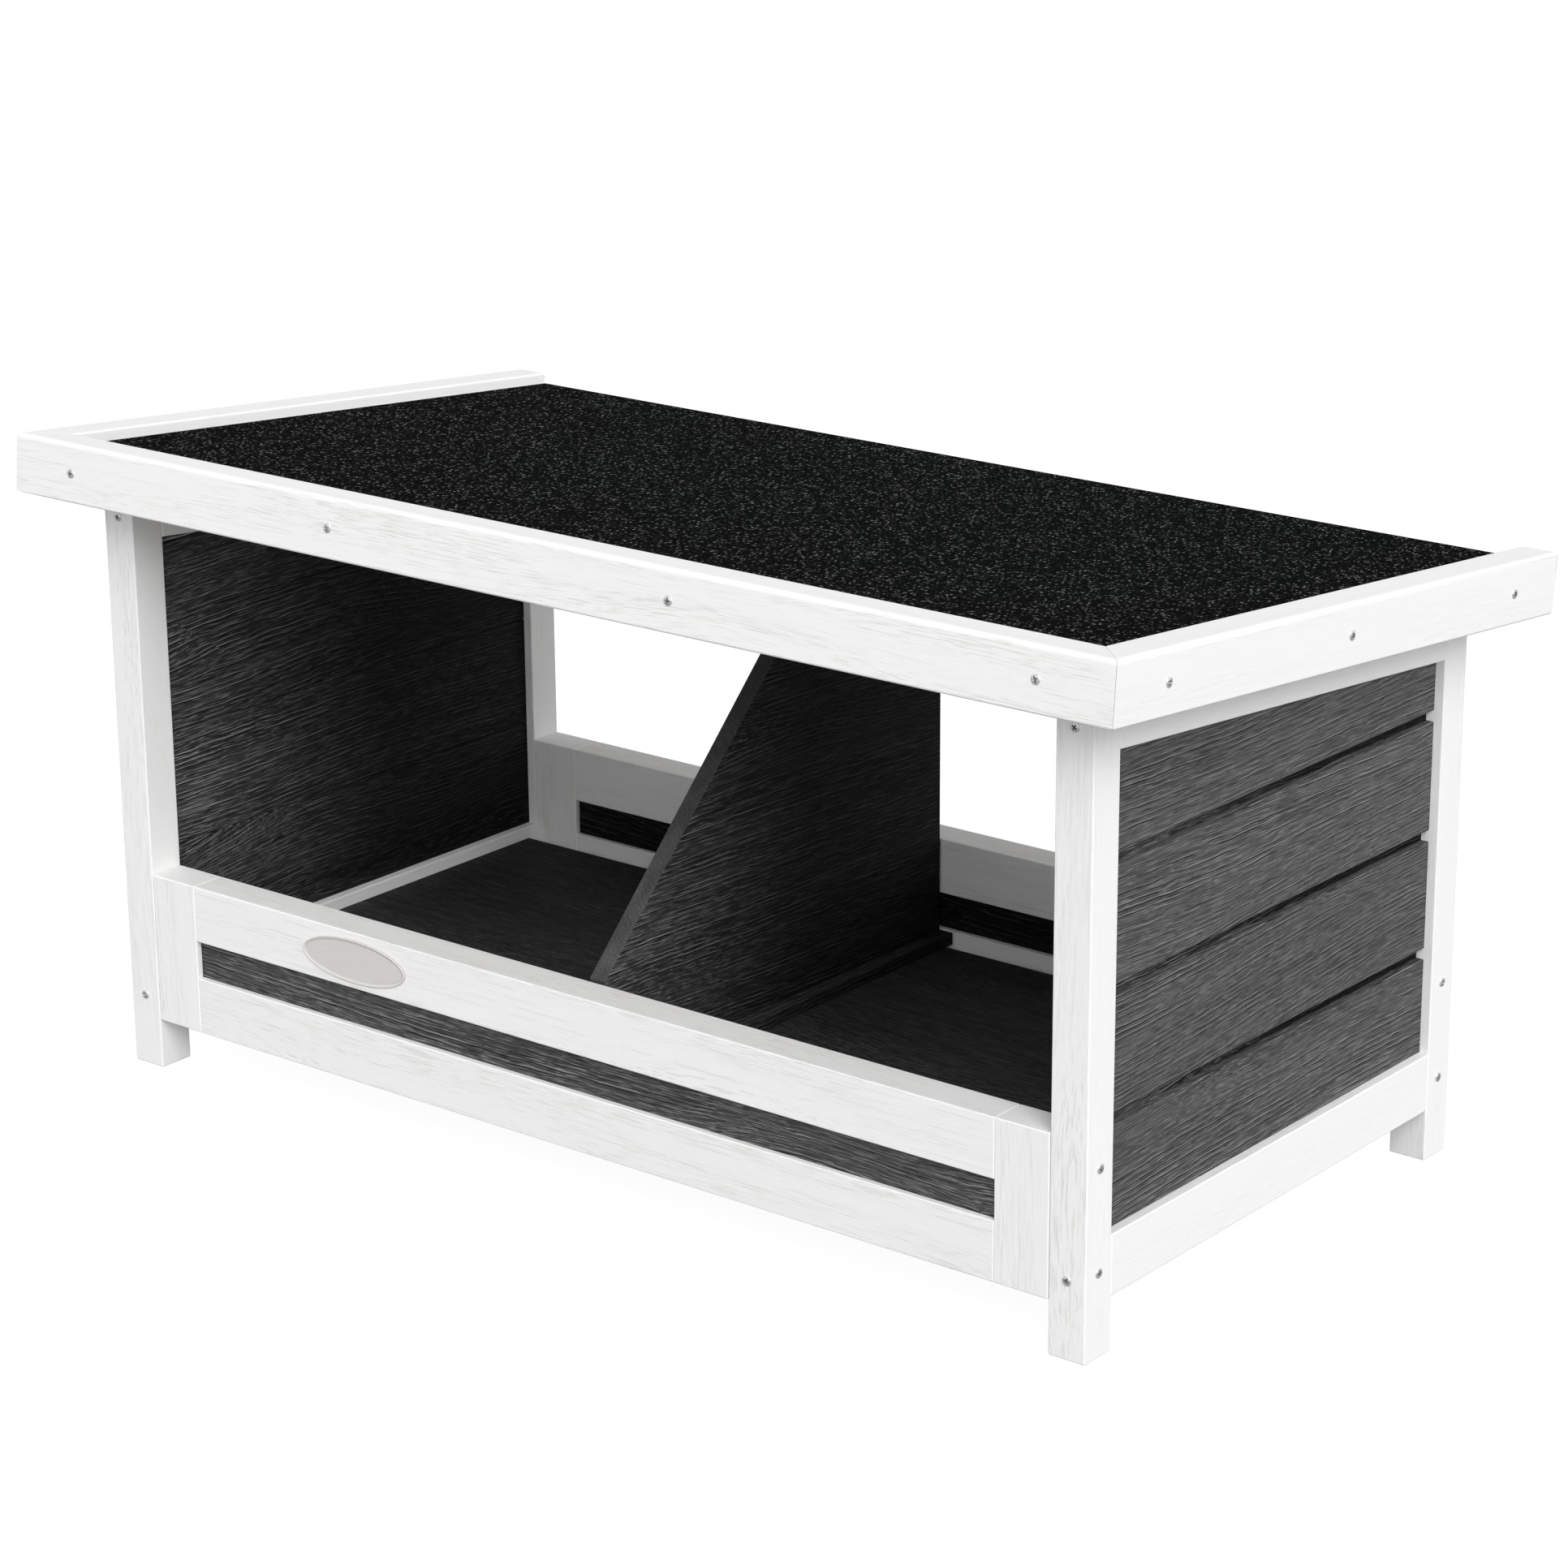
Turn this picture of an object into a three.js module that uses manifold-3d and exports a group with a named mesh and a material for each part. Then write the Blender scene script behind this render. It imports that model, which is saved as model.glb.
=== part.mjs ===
// A raised wooden pet shelter: two open bays side by side under one felted roof that falls to the rear.
// Millimetres, +Z up, the front towards -Y. The origin is on the ground, midway between the four feet.
import * as THREE from "three";
import { mergeVertices } from "three/addons/utils/BufferGeometryUtils.js";
import Module from "manifold-3d";

const wasm = await Module();
wasm.setup();

// Body: four square posts joined by side frames, and by a low panel at the front and at the rear
const BODY_WIDTH = 910;
const BODY_DEPTH = 470;
const POST = 30;
const FOOT = 40;
const RAIL = 45;

// Low panels between the posts, each a frame of stiles and rails round one insert board
const PANEL_HEIGHT = 120;
const STILE = 45;
const PANEL_JOINT = 0.5;
const INSERT = 18;
const INSERT_GROOVE = 8;

// Side boards: shiplap, each with a tongue that rises behind the bevelled lip of the board above
const PLANK = 15;
const PLANK_PITCH = 91;
const FIRST_SHOULDER = 158;
const PLANK_JOINT = 9;
const LIP = 6;
const LIP_BEVEL = 4;
const TONGUE_RISE = 16;

// Floor and centre divider
const FLOOR = 15;
const FLOOR_BELOW_RAIL = 10;
const FLOOR_DEPTH = 390;
const BEARER_WIDTH = 15;
const BEARER_HEIGHT = 20;
const DIVIDER = 15;
const DIVIDER_FRONT = -200;
const DIVIDER_REAR = 202.5;
const DIVIDER_BATTEN_WIDTH = 13;
const DIVIDER_BATTEN_HEIGHT = 10;

// Roof: its own frame, centred at mid height of the fascias and tilted down towards the rear
const ROOF_WIDTH = 1000;
const ROOF_LENGTH = 560;
const ROOF_SLOPE = THREE.MathUtils.degToRad(5);
const ROOF_HEIGHT = 460;
const FASCIA = 30;
const FASCIA_HEIGHT = 45;
const FASCIA_ROUND = 4;
const FELT = 3;
const FELT_DROP = 8.5;
const DECK = 6;
const ROOF_BATTEN = 15;
const ROOF_BATTEN_WIDTH = 40;

// Cross-head wood screws with a low domed head
const SCREW_HEAD = 7.2;
const SCREW_HEAD_HEIGHT = 1.6;
const SCREW_SHANK = 3.5;
const SCREW_LENGTH = 45;
const SCREW_SIDES = 12;
const PANEL_SCREWS = [FOOT + RAIL / 2, FOOT + PANEL_HEIGHT - RAIL / 2];
const RAIL_SCREW_LOW = 58;
const RAIL_SCREW_DROP = 3;
const FRONT_FASCIA_SCREWS = [-440, -175, 140, 440];
const SIDE_FASCIA_SCREWS = [-220, 0, 220];

// Oval badge plate, plain
const BADGE = { x: -210, z: 137, width: 104, height: 34, thickness: 1.5 };

// Clearance between pieces that meet inside the tilted roof, or where one is cut round another
const GAP = 0.3;

const halfWidth = BODY_WIDTH / 2;
const halfDepth = BODY_DEPTH / 2;
const insideX = halfWidth - POST;
const insideY = halfDepth - POST;
const railTop = FOOT + RAIL;
const floorTop = railTop - FLOOR_BELOW_RAIL;
const panelTop = FOOT + PANEL_HEIGHT;
const feltTop = FASCIA_HEIGHT / 2 - FELT_DROP;
const deckTop = feltTop - FELT;
const battenTop = deckTop - DECK;
const roofUnderside = battenTop - ROOF_BATTEN;

function finish(color, roughness, metalness = 0) {
  return new THREE.MeshStandardMaterial({ color, roughness, metalness });
}

const white = finish(0xeeeeec, 0.75);
const charcoal = finish(0x525355, 0.8);
const plywood = finish(0xd9c7a4, 0.85);
const felt = finish(0x1e1f1e, 0.95);
const zinc = finish(0xb9babb, 0.35, 1);
const plate = finish(0xcfcbc5, 0.5);

// The height of a level in the roof's own frame, above the ground at a given depth
function roofHeight(y, level) {
  return ROOF_HEIGHT - y * Math.tan(ROOF_SLOPE) + level / Math.cos(ROOF_SLOPE);
}

function solidOf(geometry) {
  geometry.deleteAttribute("normal");
  geometry.deleteAttribute("uv");
  const merged = mergeVertices(geometry);
  const vertProperties = new Float32Array(merged.attributes.position.array);
  const triVerts = new Uint32Array(merged.index.array);
  return new wasm.Manifold(new wasm.Mesh({ numProp: 3, vertProperties, triVerts }));
}

function geometryOf(solid) {
  const { vertProperties, triVerts } = solid.getMesh();
  const geometry = new THREE.BufferGeometry();
  geometry.setAttribute("position", new THREE.BufferAttribute(vertProperties, 3));
  geometry.setIndex(new THREE.BufferAttribute(triVerts, 1));
  geometry.computeVertexNormals();
  return geometry;
}

function box([x0, x1], [y0, y1], [z0, z1]) {
  const geometry = new THREE.BoxGeometry(x1 - x0, y1 - y0, z1 - z0);
  geometry.translate((x0 + x1) / 2, (y0 + y1) / 2, (z0 + z1) / 2);
  return solidOf(geometry);
}

function extrusion(points, length) {
  const shape = new THREE.Shape(points.map(([a, b]) => new THREE.Vector2(a, b)));
  return new THREE.ExtrudeGeometry(shape, { depth: length, bevelEnabled: false });
}

// An outline of [y, z] points carried from x0 to x1
function alongX(points, x0, x1) {
  const geometry = extrusion(points, x1 - x0);
  const axes = new THREE.Matrix4().makeBasis(
    new THREE.Vector3(0, 1, 0),
    new THREE.Vector3(0, 0, 1),
    new THREE.Vector3(1, 0, 0),
  );
  geometry.applyMatrix4(axes).translate(x0, 0, 0);
  return solidOf(geometry);
}

// An outline of [x, z] points carried from y0 to y1
function alongY(points, y0, y1) {
  const geometry = extrusion(points, y1 - y0);
  const axes = new THREE.Matrix4().makeBasis(
    new THREE.Vector3(1, 0, 0),
    new THREE.Vector3(0, 0, 1),
    new THREE.Vector3(0, -1, 0),
  );
  geometry.applyMatrix4(axes).translate(0, y1, 0);
  return solidOf(geometry);
}

// A screw is placed by the point where its axis meets the wood, and the way it is driven
function driven(geometry, { at, way }) {
  const turn = new THREE.Quaternion().setFromUnitVectors(
    new THREE.Vector3(0, -1, 0),
    new THREE.Vector3(...way),
  );
  return geometry.applyQuaternion(turn).translate(...at);
}

function screwHole(place) {
  const radius = SCREW_SHANK / 2 + GAP;
  const depth = SCREW_LENGTH + 2;
  const geometry = new THREE.CylinderGeometry(radius, radius, depth, SCREW_SIDES);
  geometry.translate(0, 1 - depth / 2, 0);
  return solidOf(driven(geometry, place));
}

function screwSolid(place) {
  const head = SCREW_HEAD / 2;
  const shank = SCREW_SHANK / 2;
  const tip = 6;
  const profile = [
    [0, -SCREW_LENGTH],
    [shank, tip - SCREW_LENGTH],
    [shank, GAP],
    [head, GAP],
    [head, GAP + 0.4 * SCREW_HEAD_HEIGHT],
    [0.6 * head, GAP + 0.9 * SCREW_HEAD_HEIGHT],
    [0, GAP + SCREW_HEAD_HEIGHT],
  ];
  const points = profile.map(([r, h]) => new THREE.Vector2(r, h));
  return solidOf(driven(new THREE.LatheGeometry(points, SCREW_SIDES), place));
}

function drill(pieces, screws) {
  const holes = wasm.Manifold.union(screws.map(screwHole));
  for (const piece of pieces) piece.solid = piece.solid.subtract(holes);
}

function assemble(parent, pieces) {
  for (const { name, solid, material } of pieces) {
    const mesh = new THREE.Mesh(geometryOf(solid), material);
    mesh.name = name;
    parent.add(mesh);
  }
}

const SIDES = [
  { side: "left", sign: -1 },
  { side: "right", sign: 1 },
];
const ENDS = [
  { end: "front", sign: -1 },
  { end: "rear", sign: 1 },
];

// A span from near to far, measured outwards from the middle on one side
function span(sign, near, far) {
  return sign > 0 ? [near, far] : [-far, -near];
}

function posts() {
  return ENDS.flatMap(({ end, sign: way }) =>
    SIDES.map(({ side, sign }) => {
      const [y0, y1] = span(way, insideY, halfDepth);
      const top = roofUnderside - GAP;
      const outline = [
        [y0, 0],
        [y1, 0],
        [y1, roofHeight(y1, top)],
        [y0, roofHeight(y0, top)],
      ];
      const solid = alongX(outline, ...span(sign, insideX, halfWidth));
      return { name: `post_${end}_${side}`, solid, material: white };
    }),
  );
}

function sideRails() {
  const top = roofUnderside - GAP;
  const sloped = [
    [-insideY, roofHeight(-insideY, roofUnderside - RAIL)],
    [insideY, roofHeight(insideY, roofUnderside - RAIL)],
    [insideY, roofHeight(insideY, top)],
    [-insideY, roofHeight(-insideY, top)],
  ];
  return SIDES.flatMap(({ side, sign }) => {
    const across = span(sign, insideX, halfWidth);
    return [
      {
        name: `side_bottom_rail_${side}`,
        solid: box(across, [-insideY, insideY], [FOOT, railTop]),
        material: white,
      },
      { name: `side_top_rail_${side}`, solid: alongX(sloped, ...across), material: white },
    ];
  });
}

// One side board, drawn for the right-hand side: outer face, lip, rebate, inner face, tongue
function plankOutline(foot, shoulder, isLowest, isTop) {
  const outer = insideX + (POST + PLANK) / 2;
  const inner = outer - PLANK;
  const behindLip = outer - LIP;
  const topEdge = isTop
    ? [[outer, shoulder], [inner, shoulder]]
    : [
        [outer, shoulder],
        [behindLip - GAP, shoulder],
        [behindLip - GAP, shoulder + TONGUE_RISE],
        [inner, shoulder + TONGUE_RISE],
      ];
  const bottomEdge = isLowest
    ? [[inner, foot], [outer, foot]]
    : [
        [inner, foot - PLANK_JOINT + TONGUE_RISE + 2 * GAP],
        [behindLip, foot - PLANK_JOINT + TONGUE_RISE + 2 * GAP],
        [behindLip, foot - LIP_BEVEL],
        [outer, foot],
      ];
  return [...bottomEdge, ...topEdge];
}

function planks() {
  const count = 4;
  const overhead = roofUnderside - RAIL - GAP;
  const above = [
    [-insideY - 1, roofHeight(-insideY - 1, overhead)],
    [insideY + 1, roofHeight(insideY + 1, overhead)],
    [insideY + 1, ROOF_HEIGHT + RAIL],
    [-insideY - 1, ROOF_HEIGHT + RAIL],
  ];
  return SIDES.flatMap(({ side, sign }) =>
    Array.from({ length: count }, (_, i) => {
      const isTop = i === count - 1;
      const shoulder = isTop ? ROOF_HEIGHT : FIRST_SHOULDER + i * PLANK_PITCH;
      const foot = i === 0 ? railTop : FIRST_SHOULDER + (i - 1) * PLANK_PITCH + PLANK_JOINT;
      const right = plankOutline(foot, shoulder, i === 0, isTop);
      const outline = right.map(([x, z]) => [sign * x, z]);
      const full = alongY(outline, -insideY, insideY);
      const solid = isTop ? full.subtract(alongX(above, -BODY_WIDTH, BODY_WIDTH)) : full;
      return { name: `side_plank_${side}_${i + 1}`, solid, material: charcoal };
    }),
  );
}

// A low panel: the stiles run its full height, the rails fit between them
function lowPanel({ end, sign }) {
  const depth = span(sign, insideY, halfDepth);
  const halfPanel = insideX - PANEL_JOINT;
  const halfRail = halfPanel - STILE;
  const middle = (depth[0] + depth[1]) / 2;
  const insertBox = (clearance) =>
    box(
      [-halfRail - INSERT_GROOVE - clearance, halfRail + INSERT_GROOVE + clearance],
      [middle - INSERT / 2 - clearance, middle + INSERT / 2 + clearance],
      [railTop - INSERT_GROOVE - clearance, panelTop - RAIL + INSERT_GROOVE + clearance],
    );
  const frame = [
    ["bottom_rail", box([-halfRail, halfRail], depth, [FOOT, railTop])],
    ["top_rail", box([-halfRail, halfRail], depth, [panelTop - RAIL, panelTop])],
    ["stile_left", box([-halfPanel, -halfRail], depth, [FOOT, panelTop])],
    ["stile_right", box([halfRail, halfPanel], depth, [FOOT, panelTop])],
  ];
  const groove = insertBox(GAP);
  return [
    ...frame.map(([piece, solid]) => ({
      name: `${end}_panel_${piece}`,
      solid: solid.subtract(groove),
      material: white,
    })),
    { name: `${end}_panel_insert`, solid: insertBox(0), material: charcoal },
  ];
}

function floor() {
  const halfFloor = FLOOR_DEPTH / 2;
  const underside = floorTop - FLOOR;
  return [
    {
      name: "floor_board",
      solid: box([-insideX, insideX], [-halfFloor, halfFloor], [underside, floorTop]),
      material: charcoal,
    },
    ...SIDES.map(({ side, sign }) => ({
      name: `floor_bearer_${side}`,
      solid: box(
        span(sign, insideX - BEARER_WIDTH, insideX),
        [-halfFloor, halfFloor],
        [underside - BEARER_HEIGHT, underside],
      ),
      material: white,
    })),
  ];
}

// The divider's front edge rises at 45 degrees from the top of the front panel to the roof
function divider() {
  const level = roofUnderside - GAP;
  const slant = panelTop - DIVIDER_FRONT;
  const topFront = (roofHeight(0, level) - slant) / (1 + Math.tan(ROOF_SLOPE));
  const outline = [
    [DIVIDER_FRONT, floorTop],
    [DIVIDER_REAR, floorTop],
    [DIVIDER_REAR, roofHeight(DIVIDER_REAR, level)],
    [topFront, topFront + slant],
    [DIVIDER_FRONT, panelTop],
  ];
  const face = DIVIDER / 2;
  return [
    { name: "divider", solid: alongX(outline, -face, face), material: charcoal },
    {
      name: "divider_batten",
      solid: box(
        [face, face + DIVIDER_BATTEN_WIDTH],
        [DIVIDER_FRONT, DIVIDER_REAR],
        [floorTop, floorTop + DIVIDER_BATTEN_HEIGHT],
      ),
      material: charcoal,
    },
  ];
}

function badge() {
  const oval = new THREE.Shape();
  oval.absellipse(0, 0, BADGE.width / 2, BADGE.height / 2, 0, 2 * Math.PI, false, 0);
  const geometry = new THREE.ExtrudeGeometry(oval, {
    depth: BADGE.thickness,
    bevelEnabled: false,
    curveSegments: 20,
  });
  geometry.rotateX(Math.PI / 2).translate(BADGE.x, -halfDepth, BADGE.z);
  return [{ name: "badge_plate", solid: solidOf(geometry), material: plate }];
}

// A fascia length: X along it, Y from its outer face inwards, Z up. A mitred end slants with the depth.
function fasciaSolid(length, startMitred, endMitred) {
  const half = FASCIA_HEIGHT / 2;
  const steps = 5;
  const round = Array.from({ length: steps + 1 }, (_, i) => {
    const angle = (Math.PI / 2) * (i / steps);
    const inset = FASCIA_ROUND * (1 - Math.sin(angle));
    return [inset, half - FASCIA_ROUND * (1 - Math.cos(angle))];
  });
  const outline = [[0, -half], [FASCIA, -half], [FASCIA, half], ...round];
  const geometry = extrusion(outline, length);
  const axes = new THREE.Matrix4().makeBasis(
    new THREE.Vector3(0, 1, 0),
    new THREE.Vector3(0, 0, 1),
    new THREE.Vector3(1, 0, 0),
  );
  geometry.applyMatrix4(axes);
  const position = geometry.attributes.position;
  for (let i = 0; i < position.count; i++) {
    const depth = position.getY(i) + GAP / 2;
    if (startMitred && position.getX(i) === 0) position.setX(i, depth);
    if (endMitred && position.getX(i) === length) position.setX(i, length - depth);
  }
  return geometry;
}

function fascias() {
  const x = ROOF_WIDTH / 2;
  const y = ROOF_LENGTH / 2;
  const front = fasciaSolid(ROOF_WIDTH, true, true).translate(-x, -y, 0);
  const left = fasciaSolid(ROOF_LENGTH, false, true).rotateZ(-Math.PI / 2).translate(-x, y, 0);
  const right = fasciaSolid(ROOF_LENGTH, true, false).rotateZ(Math.PI / 2).translate(x, -y, 0);
  return [
    { name: "fascia_front", solid: solidOf(front), material: white },
    { name: "fascia_left", solid: solidOf(left), material: white },
    { name: "fascia_right", solid: solidOf(right), material: white },
  ];
}

function roofSheets() {
  const across = [-ROOF_WIDTH / 2 + FASCIA + GAP, ROOF_WIDTH / 2 - FASCIA - GAP];
  const along = [-ROOF_LENGTH / 2 + FASCIA + GAP, ROOF_LENGTH / 2];
  return [
    {
      name: "roof_deck",
      solid: box(across, along, [battenTop + GAP, deckTop]),
      material: plywood,
    },
    {
      name: "roof_felt",
      solid: box(across, along, [deckTop + GAP, feltTop]),
      material: felt,
    },
  ];
}

// Battens under the deck: full width at the front and rear, with three between them
function roofBattens() {
  const half = ROOF_WIDTH / 2 - FASCIA - GAP;
  const front = -ROOF_LENGTH / 2 + FASCIA + GAP;
  const rear = ROOF_LENGTH / 2;
  const level = [roofUnderside, battenTop];
  const between = [front + ROOF_BATTEN_WIDTH + GAP, rear - ROOF_BATTEN_WIDTH - GAP];
  const edge = half - ROOF_BATTEN_WIDTH;
  const places = [
    ["front", [-half, half], [front, front + ROOF_BATTEN_WIDTH]],
    ["rear", [-half, half], [rear - ROOF_BATTEN_WIDTH, rear]],
    ["left", [-half, -edge], between],
    ["centre", [-ROOF_BATTEN_WIDTH / 2, ROOF_BATTEN_WIDTH / 2], between],
    ["right", [edge, half], between],
  ];
  return places.map(([place, x, y]) => ({
    name: `roof_batten_${place}`,
    solid: box(x, y, level),
    material: white,
  }));
}

// Screws through the posts: from the front and rear into the side rails, from the sides into the panels
function bodyScrews() {
  const postX = halfWidth - POST / 2;
  const postY = halfDepth - POST / 2;
  return ENDS.flatMap(({ end, sign: way }) =>
    SIDES.flatMap(({ side, sign }) => {
      const railMiddle = roofHeight(way * insideY, roofUnderside - RAIL / 2);
      const intoRails = [RAIL_SCREW_LOW, railMiddle - RAIL_SCREW_DROP].map((z, i) => ({
        name: `screw_post_${end}_${side}_${i + 1}`,
        at: [sign * postX, way * halfDepth, z],
        way: [0, -way, 0],
        shown: end === "front",
      }));
      const intoPanels = PANEL_SCREWS.map((z, i) => ({
        name: `screw_post_${end}_${side}_side_${i + 1}`,
        at: [sign * halfWidth, way * postY, z],
        way: [-sign, 0, 0],
        shown: side === "right",
      }));
      return [...intoRails, ...intoPanels];
    }),
  );
}

function roofScrews() {
  const front = FRONT_FASCIA_SCREWS.map((x, i) => ({
    name: `screw_fascia_front_${i + 1}`,
    at: [x, -ROOF_LENGTH / 2, 0],
    way: [0, 1, 0],
  }));
  const sides = SIDES.flatMap(({ side, sign }) =>
    SIDE_FASCIA_SCREWS.map((y, i) => ({
      name: `screw_fascia_${side}_${i + 1}`,
      at: [(sign * ROOF_WIDTH) / 2, y, 0],
      way: [-sign, 0, 0],
    })),
  );
  return [...front, ...sides];
}

function screwPieces(screws) {
  return screws.map((screw) => ({
    name: screw.name,
    solid: screwSolid(screw),
    material: zinc,
  }));
}

// The posts' rear faces and left faces have the same holes as the others, with no screws of their own
const postScrews = bodyScrews();
const body = [
  ...posts(),
  ...sideRails(),
  ...planks(),
  ...ENDS.flatMap(lowPanel),
  ...floor(),
  ...divider(),
];
drill(body, postScrews);

const roofPieces = [...fascias(), ...roofSheets(), ...roofBattens()];
drill(roofPieces, roofScrews());

const shelter = new THREE.Group();
const shownScrews = postScrews.filter((screw) => screw.shown);
assemble(shelter, [...body, ...badge(), ...screwPieces(shownScrews)]);

const roof = new THREE.Group();
roof.position.z = ROOF_HEIGHT;
roof.rotation.x = -ROOF_SLOPE;
assemble(roof, [...roofPieces, ...screwPieces(roofScrews())]);
shelter.add(roof);

export default shelter;
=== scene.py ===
"""The looks of a raised two-bay pet shelter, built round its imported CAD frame.

Metres, +Z up, front to -Y.
"""

import math
import random

import bmesh
import bpy
from mathutils import Matrix, Vector


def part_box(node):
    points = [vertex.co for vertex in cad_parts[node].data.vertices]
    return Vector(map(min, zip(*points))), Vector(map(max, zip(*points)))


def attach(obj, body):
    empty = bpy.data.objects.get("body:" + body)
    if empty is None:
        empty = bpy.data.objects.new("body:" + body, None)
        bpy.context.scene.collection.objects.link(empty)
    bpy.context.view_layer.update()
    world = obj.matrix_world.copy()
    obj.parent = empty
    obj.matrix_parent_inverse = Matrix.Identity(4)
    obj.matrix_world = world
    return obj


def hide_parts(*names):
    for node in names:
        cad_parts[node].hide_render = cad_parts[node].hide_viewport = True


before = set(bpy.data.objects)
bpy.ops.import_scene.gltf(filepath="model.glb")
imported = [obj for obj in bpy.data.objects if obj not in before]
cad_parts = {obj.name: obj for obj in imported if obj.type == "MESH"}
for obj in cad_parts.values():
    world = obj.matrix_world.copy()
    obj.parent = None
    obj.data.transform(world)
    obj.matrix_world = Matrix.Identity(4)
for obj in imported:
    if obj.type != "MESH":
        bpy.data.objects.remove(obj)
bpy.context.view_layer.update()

MM = 0.001
ROOF_SLOPE = math.radians(5)
ROOF_TILT = Matrix.Rotation(-ROOF_SLOPE, 3, "X")

# The camera of the reference view
CAMERA_AIM = Vector((0.1079, -0.0056, 0.25))
CAMERA_DISTANCE = 3.1428
CAMERA_AZIMUTH = math.radians(37.53)
CAMERA_ELEVATION = math.radians(18.468)
CAMERA_LENS = 98.32
CAMERA_SHIFT = (-0.0615, 0.0247)

# Light: a sky that leans towards the front right and is dim from below, and one broad lamp from there
SKY_HORIZON = 1.33
SKY_FALL = 1.0
SKY_BELOW = 0.25
SKY_LEAN = (0.24, -0.13, 0.0)
HORIZON_BLUR = 0.08
LAMP_FROM = Vector((0.62, -0.50, 0.60))
LAMP_STRENGTH = 0.575 * math.pi
LAMP_ANGLE = math.radians(35)
FLOOR_GLOW = 0.95
FLOOR_WHITE = 0.10

# Eased edges of the timber
EASE_FASCIA = 1.8 * MM
EASE_POST = 1.2 * MM
EASE_RAIL = 1.1 * MM
EASE_DARK = 0.5 * MM
EASE_MITRE = 0.35 * MM
EASE_SEGMENTS = 4
MITRE_SEGMENTS = 2
EASE_SHARP_ANGLE = math.radians(35)
CREASE = math.radians(40)
FLAT = math.radians(0.5)
WELD = 0.01 * MM
FACE_WEIGHT = 90

# The share of its lightness that the charcoal stain keeps under the painted shade inside the shelter, at
# the front and rear
PAINTED_SHADE_FRONT = 0.60
PAINTED_SHADE_REAR = 0.08
STAIN_LIGHTNESS = 0.09

# How much painted shade some faces get, where 1 is the full painted shade of the inside
FLOOR_PAINTED_SHADE = 0.85
SLANTED_EDGE_PAINTED_SHADE = 0.6
INSERT_PAINTED_SHADE = {"front": 0.52, "rear": 0.3}
SHIPLAP_LIP = 3.5 * MM

# The centre line of the rear right post
POST_LINE = sum(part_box("post_rear_right"), Vector()) / 2

# The heights between which the white stain's upward faces go from unlit to painted light, and how much
# of its grain marks the painted light washes out
PAINTED_LIGHT_ABOVE = (0.35, 0.38)
PAINTED_LIGHT_WASH = 0.65

# How fine each pattern is: features per metre along the fibres, and across them in two directions
WANDER = (2.1, 5, 5)
RIPPLE = (48, 110, 110)
KNOT_CELLS = (3.0, 13.0, 13.0)
BANDS = (4, 60, 60)
WHITE_BREAKS = (22, 260, 260)
WHITE_DASHES = (34, 1250, 1250)
WHITE_TINT = (5, 40, 40)
WHITE_FIBRES = (20, 900, 900)
CHARCOAL_BREAKS = (22, 240, 240)
CHARCOAL_FIBRES = (44, 1050, 1050)
GRANULES = (460, 300, 330)
FINE_GRANULES = (900, 900, 900)
FELT_CLOUDS = (45, 45, 45)
PLYWOOD_FIBRES = (14, 260, 260)
PLIES = (2, 2, 900)
ZINC_WEAR = (900, 900, 900)
BADGE_BRUSHING = (60, 1500, 1500)
FLOOR_MOTTLE = (3, 3, 3)

# How far the fibres wander and ripple, and the width of a growth ring
WHITE_WANDER = 9 * MM
WHITE_RIPPLE = 0.45 * MM
WHITE_RING = 4.2 * MM
CHARCOAL_WANDER = 40 * MM
CHARCOAL_RIPPLE = 1.5 * MM
CHARCOAL_RING = 3.1 * MM
RING_NORMAL = (0.0, 0.85, 0.65)
# From a fibre to the one below it, across the grain: the offset for the charcoal's painted fibre
# highlights and shade
FIBRE_SHADE = (0.0, 0.32 * MM, 0.28 * MM)

# Which cells hold a knot, how far it reaches in its cell, and how far it pushes the fibres aside
KNOT_CHANCE = (0.30, 0.50)
KNOT_REACH = 0.6
KNOT_PUSH = 0.85

# Cross-head screws, with a cross recess given as (length, width) at its top and bottom
HEAD_RADIUS = 3.6 * MM
HEAD_HEIGHT = 1.2 * MM
HEAD_RIM = 0.35 * MM
CAD_HEAD_TOP = 1.9 * MM
SHANK_RADIUS = 1.75 * MM
SHANK_LENGTH = 44 * MM
POINT_LENGTH = 6 * MM
SCREW_SIDES = 40
DOME_STEPS = 7
RECESS_TOP = (5.4 * MM, 1.1 * MM)
RECESS_BOTTOM = (1.4 * MM, 0.8 * MM)
RECESS_ABOVE = 0.5 * MM
RECESS_BELOW = -1.2 * MM
RECESS_MARGIN = 0.15 * MM

# The badge's outline: (inset in rim widths, share of the plate's thickness), from its edge inwards
BADGE_RIM = 1.2 * MM
BADGE_SIDES = 96
BADGE_EDGE = [(0.0, 0.0), (0.0, 0.6), (0.1, 0.85), (0.35, 1.0), (0.7, 1.0), (0.95, 0.85), (1.1, 0.6)]
BADGE_LINE = [(2.2, 0.6), (2.3, 0.3), (2.6, 0.3), (2.7, 0.6)]

FLOOR_SIZE = 200
CAMERA_REACH = 300


# ---- Shader building ---------------------------------------------------------------------------


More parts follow.
